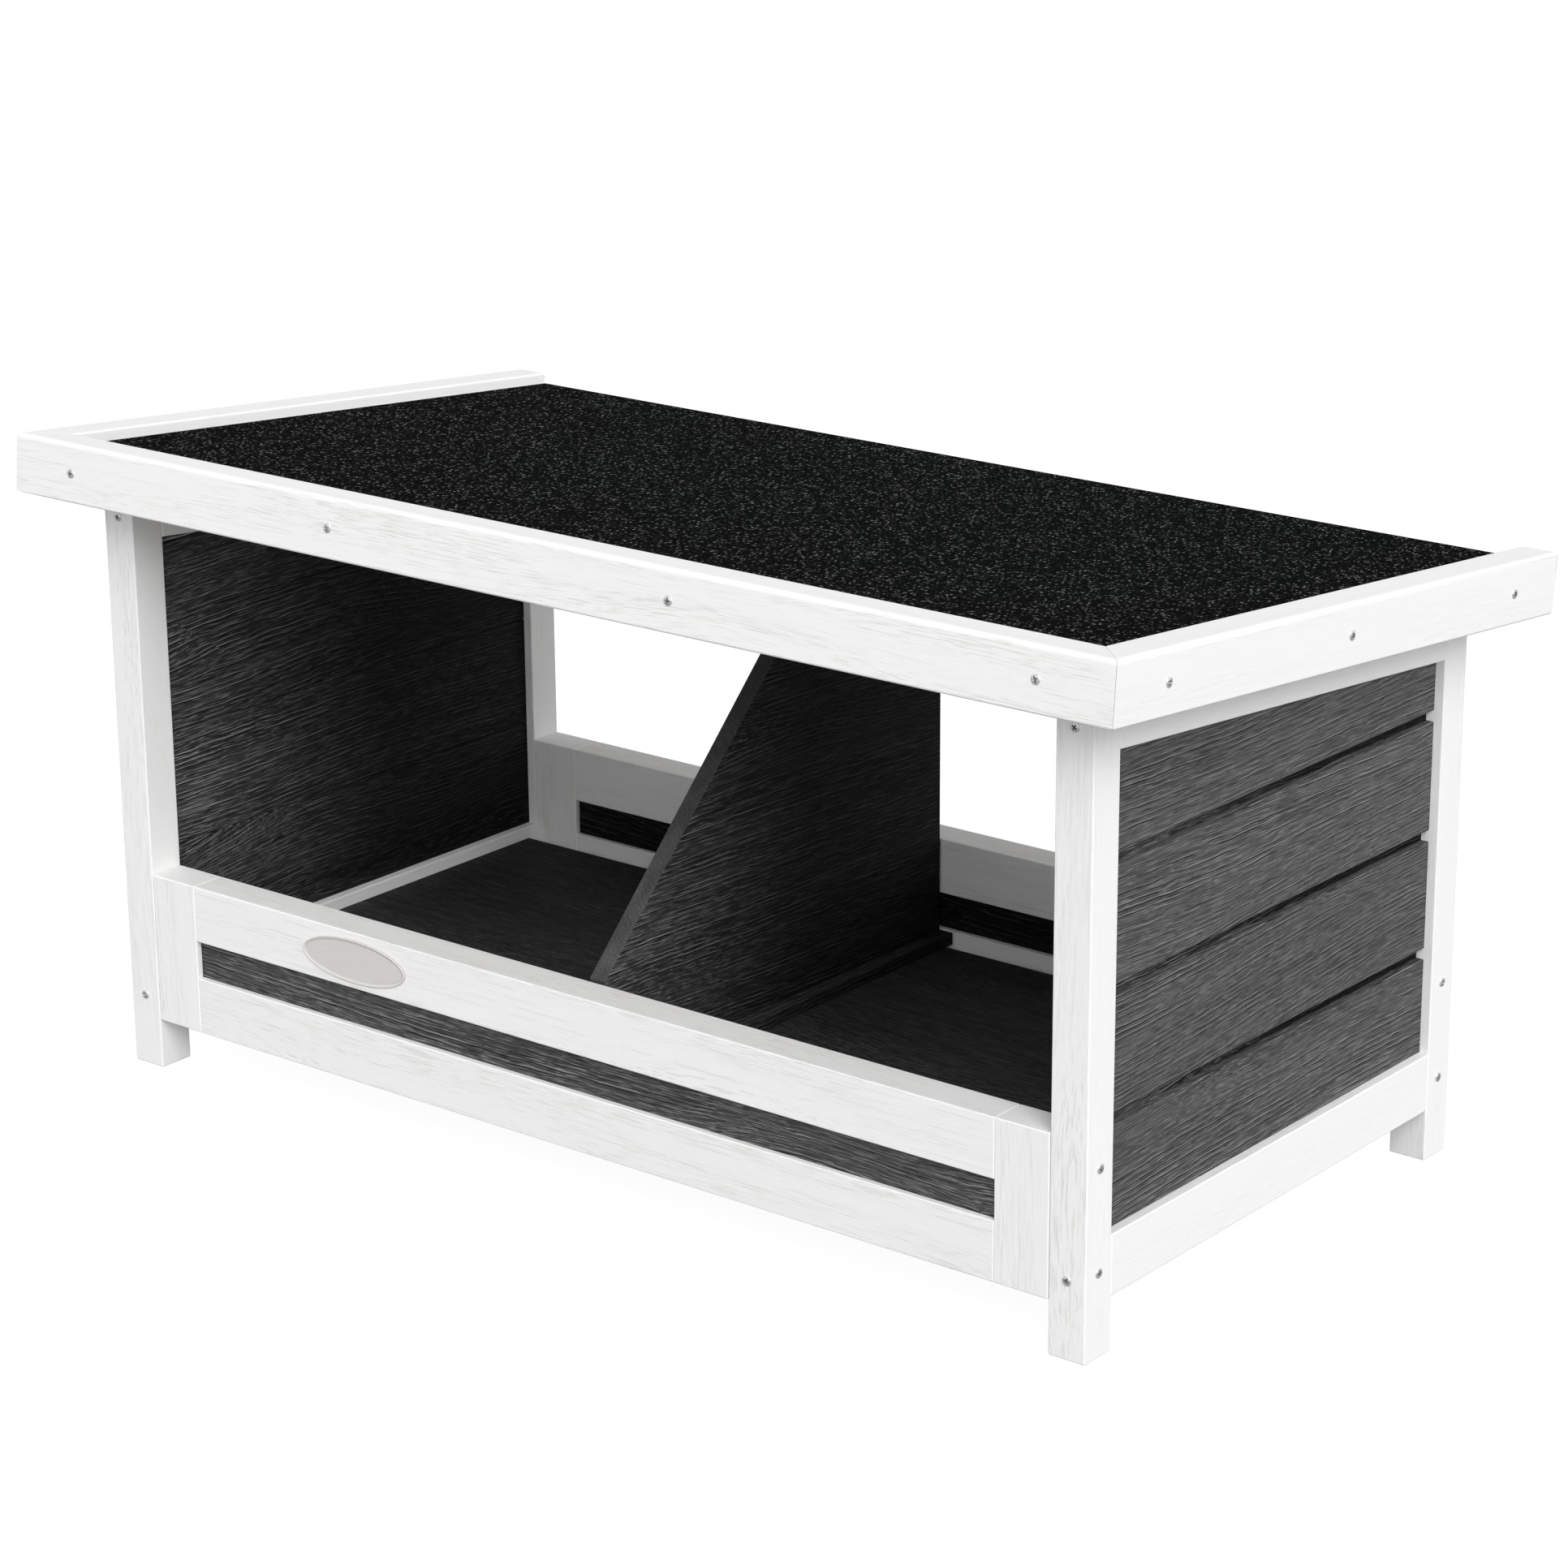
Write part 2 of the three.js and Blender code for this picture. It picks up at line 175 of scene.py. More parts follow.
class Nodes:
    """A node tree under construction. Each method adds a node and gives back its output."""

    def __init__(self, tree):
        self.tree = tree

    def put(self, socket, value):
        if isinstance(value, bpy.types.NodeSocket):
            self.tree.links.new(value, socket)
        else:
            socket.default_value = value

    def node(self, kind, settings=None, inputs=None):
        made = self.tree.nodes.new("ShaderNode" + kind)
        for key, value in (settings or {}).items():
            setattr(made, key, value)
        for key, value in (inputs or {}).items():
            self.put(made.inputs[key], value)
        return made

    def attribute(self, name, output="Vector"):
        return self.node("Attribute", {"attribute_name": name}).outputs[output]

    def math(self, operation, a, b=0.0, clamp=False):
        return self.node("Math", {"operation": operation, "use_clamp": clamp}, {0: a, 1: b}).outputs[0]

    def vector(self, operation, a, b):
        return self.node("VectorMath", {"operation": operation}, {0: a, 1: b}).outputs[0]

    def dot(self, a, b):
        return self.node("VectorMath", {"operation": "DOT_PRODUCT"}, {0: a, 1: b}).outputs["Value"]

    def chance(self, number):
        """A chance value from 0 to 1 for each whole number."""
        settings = {"noise_dimensions": "1D"}
        return self.node("TexWhiteNoise", settings, {"W": number}).outputs["Value"]

    def noise(self, place, scale, detail=2.0, roughness=0.5, output="Fac"):
        scaled = self.vector("MULTIPLY", place, scale)
        inputs = {"Vector": scaled, "Scale": 1.0, "Detail": detail, "Roughness": roughness}
        return self.node("TexNoise", None, inputs).outputs[output]

    def cells(self, place, scale, output):
        scaled = self.vector("MULTIPLY", place, scale)
        return self.node("TexVoronoi", None, {"Vector": scaled, "Scale": 1.0}).outputs[output]

    def span(self, value, low, high, to_low=0.0, to_high=1.0):
        """value, taken smoothly from low..high to to_low..to_high and held at the ends."""
        inputs = {0: value, 1: low, 2: high, 3: to_low, 4: to_high}
        return self.node("MapRange", {"interpolation_type": "SMOOTHSTEP"}, inputs).outputs[0]

    def mix(self, factor, a, b):
        """The colour a, taken towards b by the factor."""
        return self.node("Mix", {"data_type": "RGBA"}, {0: factor, 6: a, 7: b}).outputs[2]

    def bump(self, height, distance, strength=1.0, under=None):
        inputs = {"Strength": strength, "Distance": distance, "Height": height}
        if under is not None:
            inputs["Normal"] = under
        return self.node("Bump", None, inputs).outputs[0]


class Shader(Nodes):
    """A material under construction."""

    def __init__(self, name):
        self.material = bpy.data.materials.new(name)
        self.material.use_nodes = True
        super().__init__(self.material.node_tree)
        self.surface = self.tree.nodes["Principled BSDF"]

    def finish(self, **sockets):
        for name, value in sockets.items():
            self.put(self.surface.inputs[name.replace("_", " ")], value)
        return self.material


def grey(value, warmth=0.0):
    """A linear grey, a little warmer or cooler than neutral."""
    return (value * (1 + warmth), value, value * (1 - warmth), 1.0)


def flowing(s, wander, ripple):
    """The grain coordinate, X along the fibres, which wander, ripple and pass round knots."""
    place = s.attribute("grain")
    for scale, reach in ((WANDER, wander), (RIPPLE, ripple)):
        shift = s.vector("SUBTRACT", s.noise(place, scale, 1.0, 0.4, "Color"), (0.5, 0.5, 0.5))
        place = s.vector("ADD", place, s.vector("MULTIPLY", shift, (0.0, reach, reach)))
    scaled = s.vector("MULTIPLY", place, KNOT_CELLS)
    knot = s.node("TexVoronoi", None, {"Vector": scaled, "Scale": 1.0}).outputs
    away = s.vector("SUBTRACT", scaled, knot["Position"])
    aside = s.vector("MULTIPLY", away, (0.0, 1 / KNOT_CELLS[1], 1 / KNOT_CELLS[2]))
    real = s.span(s.dot(knot["Color"], (1.0, 0.0, 0.0)), *KNOT_CHANCE)
    push = s.math("MULTIPLY", real, s.span(knot["Distance"], KNOT_REACH, 0.0, 0.0, KNOT_PUSH))
    return s.vector("SUBTRACT", place, s.vector("MULTIPLY", aside, push))


def ring_count(s, place, pitch):
    """A count of growth rings across the fibres, so that each ring edge runs along them."""
    return s.math("MULTIPLY", s.dot(place, RING_NORMAL), 1 / pitch)


# ---- Materials ---------------------------------------------------------------------------------


def side_grain(s, loss):
    """1 where the fibres run along the surface, less by the loss where they end in it."""
    return s.math("SUBTRACT", 1.0, s.math("MULTIPLY", s.attribute("end_grain", "Fac"), loss))


def clear_of_painted_light(s):
    """1, and less on the faces turned to the lamp, where painted light washes out the grain marks: the
    right side and the top of the roof's edge.
    """
    facing = s.node("NewGeometry").outputs["True Normal"]
    height = s.node("SeparateXYZ", None, {0: s.node("TexCoord").outputs["Object"]}).outputs["Z"]
    right = s.span(s.dot(facing, (1.0, 0.0, 0.0)), 0.5, 0.9)
    upward = s.span(s.dot(facing, (0.0, 0.0, 1.0)), 0.5, 0.9)
    upward = s.math("MULTIPLY", upward, s.span(height, *PAINTED_LIGHT_ABOVE))
    return s.math("SUBTRACT", 1.0, s.math("MULTIPLY", s.math("MAXIMUM", right, upward), PAINTED_LIGHT_WASH))


def white_wash():
    """Brushed softwood under a thin white stain: faint grey and beige dashes along the grain."""
    s = Shader("white_wash")
    place = flowing(s, WHITE_WANDER, WHITE_RIPPLE)
    count = ring_count(s, place, WHITE_RING)
    edge = s.span(s.math("FRACT", count), 0.13, 0.0)
    own = s.span(s.chance(s.math("FLOOR", count)), 0.1, 1.0, 0.1, 0.9)
    broken = s.span(s.noise(place, WHITE_BREAKS), 0.44, 0.58)
    line = s.math("MULTIPLY", s.math("MULTIPLY", edge, own), broken)
    dash = s.span(s.noise(place, WHITE_DASHES, 2.0, 0.6), 0.50, 0.66)
    gathered = s.span(s.noise(place, BANDS), 0.36, 0.66, 0.15, 0.9)
    worn = s.math("MAXIMUM", line, s.math("MULTIPLY", dash, gathered))
    worn = s.math("MULTIPLY", worn, side_grain(s, 0.6))
    # Painted light: the grain marks fade on the faces turned to the lamp
    worn = s.math("MULTIPLY", worn, clear_of_painted_light(s))
    tint = s.noise(place, WHITE_TINT, 1.0)
    base = s.mix(tint, grey(0.915, -0.002), grey(0.900, 0.005))
    shade = s.mix(tint, grey(0.60, 0.04), grey(0.52, 0.10))
    tone = s.attribute("tone", "Fac")
    base = s.mix(s.span(tone, -1.0, 1.0, 0.0, 0.03), base, grey(0.62, 0.02))
    colour = s.mix(s.math("MULTIPLY", worn, 0.46), base, shade)
    fibre = s.noise(place, WHITE_FIBRES, 2.0, 0.6)
    height = s.math("SUBTRACT", s.math("MULTIPLY", fibre, 0.5), worn)
    normal = s.bump(height, 0.25 * MM, 0.5)
    rough = s.span(fibre, 0.3, 0.7, 0.58, 0.74)
    return s.finish(Base_Color=colour, Roughness=rough, Normal=normal, Specular_IOR_Level=0.3)


def painted_shade_colour(s, colour):
    """Painted shade on the charcoal stain inside the shelter: darker towards the rear, with stronger
    contrasts.
    """
    depth = s.node("SeparateXYZ", None, {0: s.node("TexCoord").outputs["Object"]}).outputs["Y"]
    kept = s.span(depth, -POST_LINE.y, POST_LINE.y / 4, PAINTED_SHADE_FRONT, PAINTED_SHADE_REAR)
    stronger = s.vector("MULTIPLY", colour, colour)
    return s.vector("MULTIPLY", stronger, s.math("DIVIDE", kept, STAIN_LIGHTNESS))


def charcoal_stain():
    """Wire-brushed softwood under a charcoal stain: a dark furrow and a pale ridge at each ring edge."""
    s = Shader("charcoal_stain")
    place = flowing(s, CHARCOAL_WANDER, CHARCOAL_RIPPLE)
    count = ring_count(s, place, CHARCOAL_RING)
    part = s.math("FRACT", count)
    own = s.span(s.chance(s.math("FLOOR", count)), 0.0, 1.0, 0.2, 1.0)
    broken = s.span(s.noise(place, CHARCOAL_BREAKS), 0.38, 0.56)
    strength = s.math("MULTIPLY", s.math("MULTIPLY", own, broken), side_grain(s, 0.85))
    furrow = s.math("MULTIPLY", s.span(part, 0.28, 0.12), strength)
    ridge = s.math("MULTIPLY", s.span(part, 0.16, 0.30), s.span(part, 0.52, 0.38))
    ridge = s.math("MULTIPLY", ridge, strength)
    fibre = s.noise(place, CHARCOAL_FIBRES, 2.0, 0.55)
    below = s.noise(s.vector("ADD", place, FIBRE_SHADE), CHARCOAL_FIBRES, 2.0, 0.55)
    relief = s.math("MULTIPLY", s.math("SUBTRACT", fibre, below), side_grain(s, 0.5))
    # Painted highlight and painted shade along the fibres, as if lit from above
    lit = s.span(relief, 0.02, 0.19)
    shaded = s.span(relief, -0.02, -0.19)
    band = s.noise(place, BANDS)
    colour = s.mix(s.span(band, 0.35, 0.65), grey(0.076), grey(0.100))
    colour = s.mix(s.math("MULTIPLY", lit, 0.55), colour, grey(0.27))
    colour = s.mix(s.math("MULTIPLY", shaded, 0.60), colour, grey(0.016))
    colour = s.mix(s.math("MULTIPLY", ridge, 0.60), colour, grey(0.30))
    colour = s.mix(s.math("MULTIPLY", furrow, 0.85), colour, grey(0.009))
    tone = s.attribute("tone", "Fac")
    colour = s.mix(s.span(tone, -1.0, 1.0, 0.0, 0.10), colour, grey(0.03))
    # Painted shade, by the share marked on each face: inside the shelter, on the recessed inserts and
    # deep in the board joints
    colour = s.mix(s.attribute("painted_shade", "Fac"), colour, painted_shade_colour(s, colour))
    height = s.math("SUBTRACT", s.math("MULTIPLY", s.math("ADD", fibre, ridge), 0.5), furrow)
    normal = s.bump(height, 0.5 * MM, 0.7)
    rough = s.span(fibre, 0.3, 0.7, 0.74, 0.60)
    return s.finish(Base_Color=colour, Roughness=rough, Normal=normal, Specular_IOR_Level=0.1)


def granule_felt():
    """Bitumen roofing felt: near-black mineral granules with a scatter of pale ones."""
    s = Shader("granule_felt")
    place = s.attribute("grain")
    own = s.node("SeparateColor", None, {0: s.cells(place, GRANULES, "Color")})
    pale = s.span(own.outputs[0], 0.25, 1.0)
    centre = s.span(s.cells(place, GRANULES, "Distance"), 0.52, 0.15)
    cloud = s.span(s.noise(place, FELT_CLOUDS, 3.0, 0.6), 0.32, 0.68, 0.55, 1.2)
    amount = s.math("MULTIPLY", s.math("MULTIPLY", pale, centre), cloud, clamp=True)
    fine = s.node("SeparateColor", None, {0: s.cells(place, FINE_GRANULES, "Color")})
    dark = s.mix(fine.outputs[1], grey(0.0030, -0.06), grey(0.0100, -0.06))
    light = s.mix(own.outputs[2], grey(0.06, -0.04), grey(0.30, -0.01))
    colour = s.mix(amount, dark, light)
    height = s.math("ADD", s.math("MULTIPLY", centre, 0.5), amount)
    grit = s.bump(s.cells(place, FINE_GRANULES, "Distance"), -0.3 * MM, 0.6)
    normal = s.bump(height, 0.6 * MM, 0.7, under=grit)
    rough = s.span(fine.outputs[0], 0.0, 1.0, 0.85, 1.0)
    return s.finish(Base_Color=colour, Roughness=rough, Normal=normal, Specular_IOR_Level=0.0)


def plywood():
    """Bare plywood, with its plies showing as stripes along the cut edges."""
    s = Shader("plywood")
    place = s.attribute("grain")
    fibre = s.noise(place, PLYWOOD_FIBRES, 3.0, 0.6)
    plies = s.noise(place, PLIES, 0.0, 0.0)
    face = s.mix(fibre, grey(0.50, 0.22), grey(0.34, 0.28))
    colour = s.mix(s.span(plies, 0.45, 0.55, 0.0, 0.35), face, grey(0.20, 0.3))
    normal = s.bump(fibre, 0.3 * MM, 0.5)
    return s.finish(Base_Color=colour, Roughness=0.8, Normal=normal)


def zinc():
    """Bright zinc plate with fine wear, and painted shade in the cross recess."""
    s = Shader("zinc")
    place = s.attribute("grain")
    wear = s.noise(place, ZINC_WEAR, 3.0, 0.6)
    colour = s.mix(wear, grey(0.68, 0.005), grey(0.82, 0.01))
    # Painted shade in the cross recess
    colour = s.mix(s.attribute("recess", "Fac"), colour, grey(0.36, 0.02))
    rough = s.span(wear, 0.35, 0.65, 0.34, 0.52)
    normal = s.bump(wear, 0.05 * MM, 0.4)
    return s.finish(Base_Color=colour, Roughness=rough, Normal=normal, Metallic=0.8)


def badge_enamel():
    """A satin greige plate with a fine brushed texture."""
    s = Shader("badge_enamel")
    place = s.attribute("grain")
    brushed = s.noise(place, BADGE_BRUSHING, 2.0, 0.6)
    colour = s.mix(brushed, grey(0.60, 0.035), grey(0.70, 0.03))
    normal = s.bump(brushed, 0.04 * MM, 0.3)
    return s.finish(Base_Color=colour, Roughness=0.38, Normal=normal)


def studio_floor():
    """A pale floor that glows evenly, with a trace of shadow where something stands on it."""
    s = Shader("studio_floor")
    place = s.node("TexCoord").outputs["Object"]
    mottle = s.noise(place, FLOOR_MOTTLE)
    colour = s.mix(mottle, grey(FLOOR_WHITE), grey(FLOOR_WHITE * 0.98))
    glow = s.node("Emission", None, {"Color": grey(1.0), "Strength": FLOOR_GLOW}).outputs[0]
    s.finish(Base_Color=colour, Roughness=1.0)
    both = s.node("AddShader", None, {0: s.surface.outputs[0], 1: glow}).outputs[0]
    s.put(s.tree.nodes["Material Output"].inputs["Surface"], both)
    return s.material


MATERIALS = {
    "white": white_wash(),
    "charcoal": charcoal_stain(),
    "felt": granule_felt(),
    "plywood": plywood(),
    "zinc": zinc(),
    "badge": badge_enamel(),
}


# ---- Pieces ------------------------------------------------------------------------------------


def new_piece(name, mesh, material, slot, *nodes):
    """A finished piece on the body, in place of its CAD nodes, its shading led by its flat faces."""
    piece = bpy.data.objects.new(name, mesh)
    bpy.context.scene.collection.objects.link(piece)
    mesh.materials.clear()
    mesh.materials.append(MATERIALS[material])
    even = piece.modifiers.new("flat_faces_stay_flat", "WEIGHTED_NORMAL")
    even.mode = "FACE_AREA"
    even.weight = FACE_WEIGHT
    even.keep_sharp = True
    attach(piece, "root")
    if nodes:
        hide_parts(*nodes)
    return piece


def set_attribute(mesh, name, kind, domain, key, values):
    mesh.attributes.new(name, kind, domain).data.foreach_set(key, values)


def set_grain(mesh, name, run, tilt):
    """Stores where each vertex lies in the piece's own timber, X along the grain.

    The piece also gets a tone of its own, and its end faces are marked.
    """
    order = {"X": (0, 1, 2), "Y": (1, 2, 0), "Z": (2, 0, 1)}[run]
    draw = random.Random(name)
    start = Vector([draw.uniform(-3.0, 3.0) for _ in range(3)])
    level = tilt.inverted()
    own = [level @ vertex.co for vertex in mesh.vertices]
    grain = [value for place in own for value in Vector([place[i] for i in order]) + start]
    set_attribute(mesh, "grain", "FLOAT_VECTOR", "POINT", "vector", grain)
    tone = [draw.uniform(-1.0, 1.0)] * len(own)
    set_attribute(mesh, "tone", "FLOAT", "POINT", "value", tone)
    along = "XYZ".index(run)
    ends = [float(abs(face.normal[along]) > 0.5) for face in mesh.polygons]
    set_attribute(mesh, "end_grain", "FLOAT", "FACE", "value", ends)


def set_painted_shade(mesh, outer_painted_shade):
    """Marks how much painted shade each face gets: 1 inside the shelter or deep in a board joint."""
    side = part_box("side_plank_right_1")[1].x - SHIPLAP_LIP

    def shelter(face):
        if abs(face.center.x) > side or abs(face.center.y) > POST_LINE.y:
            return outer_painted_shade
        if face.normal.y * face.normal.z < -0.2:
            return SLANTED_EDGE_PAINTED_SHADE
        return FLOOR_PAINTED_SHADE if face.normal.z > 0.5 else 1.0

    painted_shade = [shelter(face) for face in mesh.polygons]
    set_attribute(mesh, "painted_shade", "FLOAT", "FACE", "value", painted_shade)


def is_mitre(face):
    normal = ROOF_TILT.inverted() @ face.normal
    return min(abs(normal.x), abs(normal.y)) > 0.5


def round_off(shape, edges, ease, segments):
    bmesh.ops.bevel(
        shape,
        geom=edges,
        offset=ease,
        offset_type="OFFSET",
        segments=segments,
        profile=0.5,
        affect="EDGES",
        clamp_overlap=False,
    )


def eased_mesh(node, ease, mitred):
    """The node's solid with its coplanar faces joined and its edges rounded off, less at a mitre."""
    shape = bmesh.new()
    shape.from_mesh(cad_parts[node].data)
    bmesh.ops.remove_doubles(shape, verts=shape.verts, dist=WELD)
    bmesh.ops.dissolve_limit(shape, angle_limit=FLAT, verts=shape.verts, edges=shape.edges)
    sharp = [
        edge
        for edge in shape.edges
        if edge.calc_face_angle(0.0) > EASE_SHARP_ANGLE
        and edge.calc_length() > 2.5 * ease
        and not (mitred and any(is_mitre(face) for face in edge.link_faces))
    ]
    round_off(shape, sharp, ease, EASE_SEGMENTS)
    if mitred:
        rims = [edge for edge in shape.edges if len({is_mitre(face) for face in edge.link_faces}) == 2]
        round_off(shape, rims, EASE_MITRE, MITRE_SEGMENTS)
    bmesh.ops.triangulate(shape, faces=[face for face in shape.faces if len(face.verts) > 4])
    mesh = bpy.data.meshes.new(node)
    shape.to_mesh(mesh)
    shape.free()
    mesh.shade_smooth()
    mesh.set_sharp_from_angle(angle=CREASE)
    return mesh


def timber(node, material, slot, run, ease, tilted=False, mitred=False):
    mesh = eased_mesh(node, ease, mitred)
    set_grain(mesh, node, run, ROOF_TILT if tilted else Matrix.Identity(3))
    return new_piece(node + "_timber", mesh, material, slot, node)


def white_timber(node, run, ease=EASE_RAIL, tilted=False, mitred=False):
    return timber(node, "white", "white_wood", run, ease, tilted, mitred)


def dark_timber(node, run, outer_painted_shade=0.0):
    piece = timber(node, "charcoal", "charcoal_wood", run, EASE_DARK)
    set_painted_shade(piece.data, outer_painted_shade)


def body_timber():
    for side in ("left", "right"):
        for end in ("front", "rear"):
            white_timber(f"post_{end}_{side}", "Z", EASE_POST)
            white_timber(f"{end}_panel_stile_{side}", "Z")
        white_timber(f"side_bottom_rail_{side}", "Y")
        white_timber(f"side_top_rail_{side}", "Y")
        white_timber(f"floor_bearer_{side}", "Y")
        for row in (1, 2, 3, 4):
            dark_timber(f"side_plank_{side}_{row}", "Y")
    # The outer faces of the recessed inserts get painted shade as well
    for end, outer_painted_shade in INSERT_PAINTED_SHADE.items():
        white_timber(f"{end}_panel_top_rail", "X")
        white_timber(f"{end}_panel_bottom_rail", "X")
        dark_timber(f"{end}_panel_insert", "X", outer_painted_shade)
    dark_timber("floor_board", "X")
    dark_timber("divider", "Y")
    dark_timber("divider_batten", "Y")


def roof_timber():
    runs = {"front": "X", "rear": "X", "left": "Y", "centre": "Y", "right": "Y"}
    for place, run in runs.items():
        white_timber(f"roof_batten_{place}", run, tilted=True)
    for place in ("front", "left", "right"):
        white_timber(f"fascia_{place}", runs[place], EASE_FASCIA, tilted=True, mitred=True)
    timber("roof_deck", "plywood", "roof_plywood", "X", EASE_DARK, tilted=True)
    timber("roof_felt", "felt", "roof_felt", "X", EASE_DARK, tilted=True)


# ---- Screws ------------------------------------------------------------------------------------


def screw_profile():
    """Half outline of the screw as (radius, height) points, from its point to the crown of its head."""
    turns = [math.pi / 2 * step / DOME_STEPS for step in range(DOME_STEPS + 1)]
    rise = HEAD_HEIGHT - HEAD_RIM
    dome = [(HEAD_RADIUS * math.cos(turn), HEAD_RIM + rise * math.sin(turn)) for turn in turns]
    tip = POINT_LENGTH - SHANK_LENGTH
    return [(0.0, -SHANK_LENGTH), (SHANK_RADIUS, tip), (SHANK_RADIUS, 0.0), (HEAD_RADIUS, 0.0), *dome]


def revolved(profile, sides):
    shape = bmesh.new()
    points = [shape.verts.new((radius, 0.0, height)) for radius, height in profile]
    edges = [shape.edges.new(pair) for pair in zip(points, points[1:])]
    bmesh.ops.spin(
        shape,
        geom=[*points, *edges],
        axis=(0, 0, 1),
        cent=(0, 0, 0),
        angle=2 * math.pi,
        steps=sides,
    )
    bmesh.ops.remove_doubles(shape, verts=shape.verts, dist=WELD)
    bmesh.ops.recalc_face_normals(shape, faces=shape.faces)
    return shape


def cross_cutter():
    """The shape of a cross recess: two tapered blades, wider at the top than at the bottom."""
    shape = bmesh.new()
    for turn in (0.0, math.pi / 2):
        blade = bmesh.ops.create_cube(shape, size=1.0)["verts"]
        for vertex in blade:
            high = vertex.co.z > 0
            length, width = RECESS_TOP if high else RECESS_BOTTOM
            vertex.co.x *= length
            vertex.co.y *= width
            vertex.co.z = HEAD_HEIGHT + RECESS_ABOVE if high else RECESS_BELOW
        bmesh.ops.rotate(shape, verts=blade, matrix=Matrix.Rotation(turn, 3, "Z"))
    return shape


def as_object(name, shape):
    mesh = bpy.data.meshes.new(name)
    shape.to_mesh(mesh)
    shape.free()
    made = bpy.data.objects.new(name, mesh)
    bpy.context.scene.collection.objects.link(made)
    return made


def is_recess(face):
    """Whether the face lies in the cross recess, below the dome of the head."""
    out = min(Vector(face.center.xy).length / HEAD_RADIUS, 1.0)
    dome = HEAD_RIM + (HEAD_HEIGHT - HEAD_RIM) * math.sqrt(1 - out * out)
    return out < 0.8 and RECESS_BELOW < face.center.z + RECESS_MARGIN < dome


def screw_mesh():
    """One cross-head screw, seat at the origin, head towards +Z."""
    blank = as_object("screw_blank", revolved(screw_profile(), SCREW_SIDES))
    cutter = as_object("screw_cutter", cross_cutter())
    cut = blank.modifiers.new("recess", "BOOLEAN")
    cut.object = cutter
    cut.operation = "DIFFERENCE"
    cut.solver = "EXACT"
    cut.use_self = True
    shown = bpy.context.evaluated_depsgraph_get()
    mesh = bpy.data.meshes.new_from_object(blank.evaluated_get(shown))
    mesh.shade_smooth()
    mesh.set_sharp_from_angle(angle=CREASE)
    # Marks the cross recess for the zinc's painted shade
    recess = [float(is_recess(face)) for face in mesh.polygons]
    set_attribute(mesh, "recess", "FLOAT", "FACE", "value", recess)
    bpy.data.objects.remove(blank)
    bpy.data.objects.remove(cutter)
    return mesh


SCREW = screw_mesh()


def screw(name, seat, outward, *nodes):
    """A screw whose head stands on the wood at seat and faces outward, turned by a chance amount."""
    mesh = SCREW.copy()
    spin = Matrix.Rotation(random.Random(name).uniform(0, math.pi / 2), 4, "Z")
    stand = outward.to_track_quat("Z", "Y").to_matrix().to_4x4()
    mesh.transform(Matrix.Translation(seat) @ stand @ spin)
    set_grain(mesh, name, "Z", Matrix.Identity(3))
    return new_piece(name, mesh, "zinc", "zinc_screw", *nodes)


def screw_seat(node, outward):
    """Where the axis of a CAD screw meets the wood: its crown, less the height of the head."""
    crown = max((v.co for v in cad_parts[node].data.vertices), key=lambda co: co.dot(outward))
    return crown - outward * CAD_HEAD_TOP


def screws():
    front = Vector((0, -1, 0))
    rear = Vector((0, 1, 0))
    left = Vector((-1, 0, 0))
    right = Vector((1, 0, 0))
    roof_front = ROOF_TILT @ front
    for number in (1, 2, 3, 4):
        node = f"screw_fascia_front_{number}"
        screw(f"fascia_front_screw_{number}", screw_seat(node, roof_front), roof_front, node)
    for number in (1, 2, 3):
        for side, outward in (("left", left), ("right", right)):
            node = f"screw_fascia_{side}_{number}"
            screw(f"fascia_{side}_screw_{number}", screw_seat(node, outward), outward, node)
    inside_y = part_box("post_rear_left")[0].y
    fall = 2 * inside_y * math.tan(ROOF_SLOPE)
    for side in ("left", "right"):
        for number in (1, 2):
            node = f"screw_post_front_{side}_{number}"
            seat = screw_seat(node, front)
            screw(f"post_front_{side}_screw_{number}", seat, front, node)
            drop = fall if number == 2 else 0.0
            behind = Vector((seat.x, -seat.y, seat.z - drop))
            screw(f"post_rear_{side}_screw_{number}", behind, rear)
    for end in ("front", "rear"):
        for number in (1, 2):
            node = f"screw_post_{end}_right_side_{number}"
            seat = screw_seat(node, right)
            screw(f"post_{end}_right_side_screw_{number}", seat, right, node)
            opposite = Vector((-seat.x, seat.y, seat.z))
            screw(f"post_{end}_left_side_screw_{number}", opposite, left)


# ---- Badge -------------------------------------------------------------------------------------


def badge_shape(low, high):
    """A plain oval plate between the two corners, with a raised rim and an engraved line inside it."""
    middle = (low + high) / 2
    half_width = (high.x - low.x) / 2
    half_height = (high.z - low.z) / 2
    shape = bmesh.new()
    rings = []
    for inset, share in BADGE_EDGE + BADGE_LINE:
        y = high.y - (high.y - low.y) * share
        ring = []
        for step in range(BADGE_SIDES):
            turn = 2 * math.pi * step / BADGE_SIDES
            x = middle.x + (half_width - BADGE_RIM * inset) * math.cos(turn)
            z = middle.z + (half_height - BADGE_RIM * inset) * math.sin(turn)
            ring.append(shape.verts.new((x, y, z)))
        rings.append(ring)
    for outer, inner in zip(rings, rings[1:]):
        for step in range(BADGE_SIDES):
            after = (step + 1) % BADGE_SIDES
            shape.faces.new((outer[step], outer[after], inner[after], inner[step]))
    shape.faces.new(rings[0])
    shape.faces.new(rings[-1])
    bmesh.ops.recalc_face_normals(shape, faces=shape.faces)
    return shape


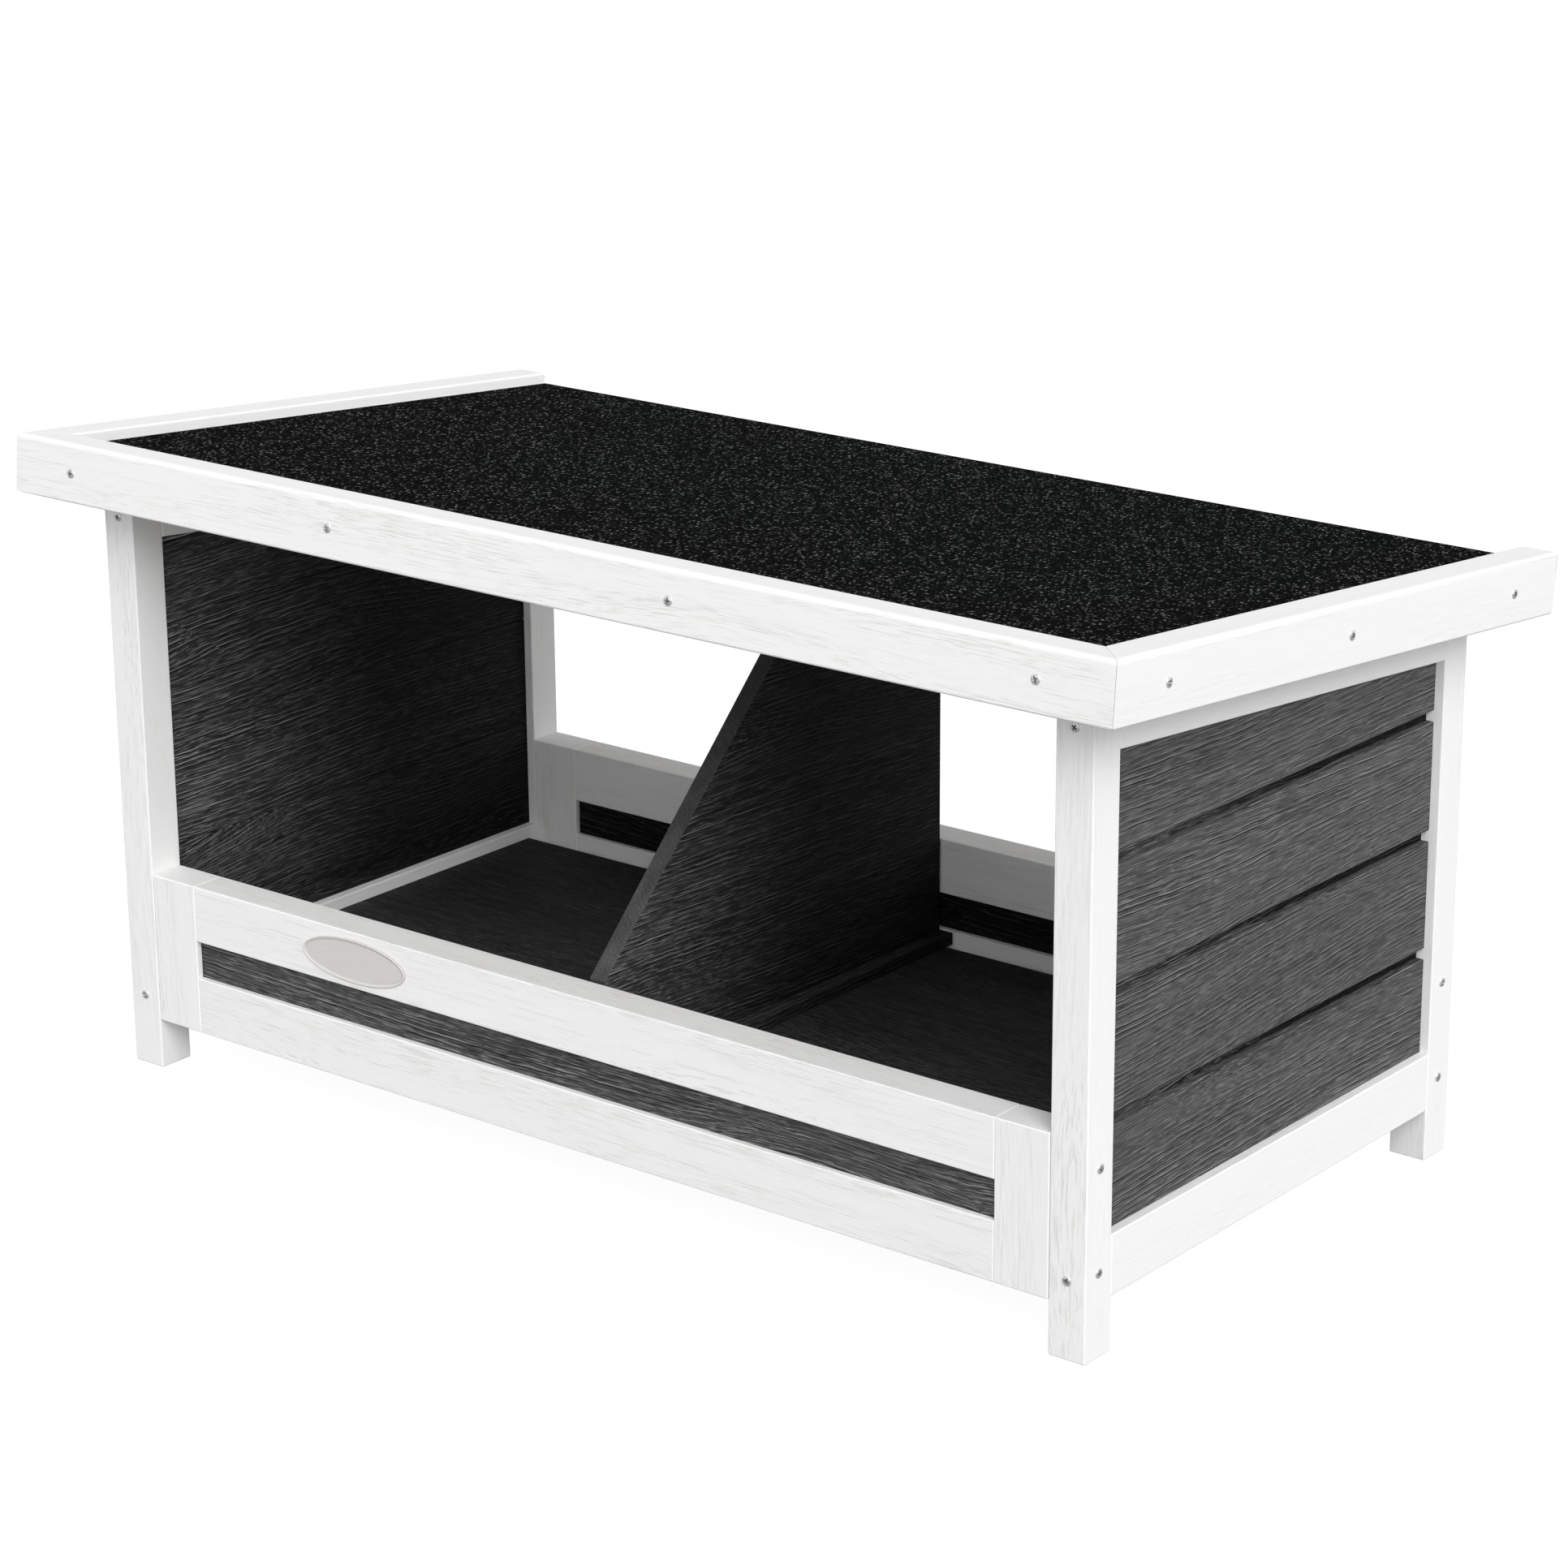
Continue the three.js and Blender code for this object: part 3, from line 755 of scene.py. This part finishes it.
def badge():
    shape = badge_shape(*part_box("badge_plate"))
    mesh = bpy.data.meshes.new("badge")
    shape.to_mesh(mesh)
    shape.free()
    mesh.shade_smooth()
    set_grain(mesh, "badge", "X", Matrix.Identity(3))
    return new_piece("oval_badge", mesh, "badge", "badge_plate", "badge_plate")


# ---- Studio ------------------------------------------------------------------------------------


def camera():
    data = bpy.data.cameras.new("camera")
    data.sensor_width = 36
    data.lens = CAMERA_LENS
    data.shift_x, data.shift_y = CAMERA_SHIFT
    data.clip_end = CAMERA_REACH
    made = bpy.data.objects.new("camera", data)
    bpy.context.scene.collection.objects.link(made)
    made.rotation_euler = (math.pi / 2 - CAMERA_ELEVATION, 0, CAMERA_AZIMUTH)
    back = made.rotation_euler.to_matrix() @ Vector((0, 0, 1))
    made.location = CAMERA_AIM + back * CAMERA_DISTANCE
    bpy.context.scene.camera = made


def sky():
    """Studio light from all round, brightest near the horizon at the front right."""
    world = bpy.data.worlds.new("surround")
    world.use_nodes = True
    s = Nodes(world.node_tree)
    facing = s.node("TexCoord").outputs["Generated"]
    height = s.node("SeparateXYZ", None, {0: facing}).outputs["Z"]
    lean = s.math("ADD", s.dot(facing, SKY_LEAN), 1.0)
    above = s.math("SUBTRACT", SKY_HORIZON, s.math("MULTIPLY", height, SKY_FALL))
    above = s.math("MULTIPLY", above, lean)
    strength = s.span(height, -HORIZON_BLUR, 0.0, SKY_BELOW, above)
    background = world.node_tree.nodes["Background"]
    background.inputs["Color"].default_value = grey(1.0)
    s.put(background.inputs["Strength"], strength)
    return world


def lamp():
    data = bpy.data.lights.new("soft_lamp", "SUN")
    data.energy = LAMP_STRENGTH
    data.angle = LAMP_ANGLE
    made = bpy.data.objects.new("soft_lamp", data)
    made.rotation_euler = LAMP_FROM.to_track_quat("Z", "Y").to_euler()
    bpy.context.scene.collection.objects.link(made)


def studio():
    scene = bpy.context.scene
    scene.view_settings.view_transform = "Standard"
    scene.world = sky()
    lamp()
    bpy.ops.mesh.primitive_plane_add(size=FLOOR_SIZE)
    floor = bpy.context.object
    floor.name = "studio_floor"
    floor.data.materials.append(studio_floor())
    floor.visible_diffuse = False
    floor.visible_glossy = False


camera()
studio()
body_timber()
roof_timber()
screws()
badge()
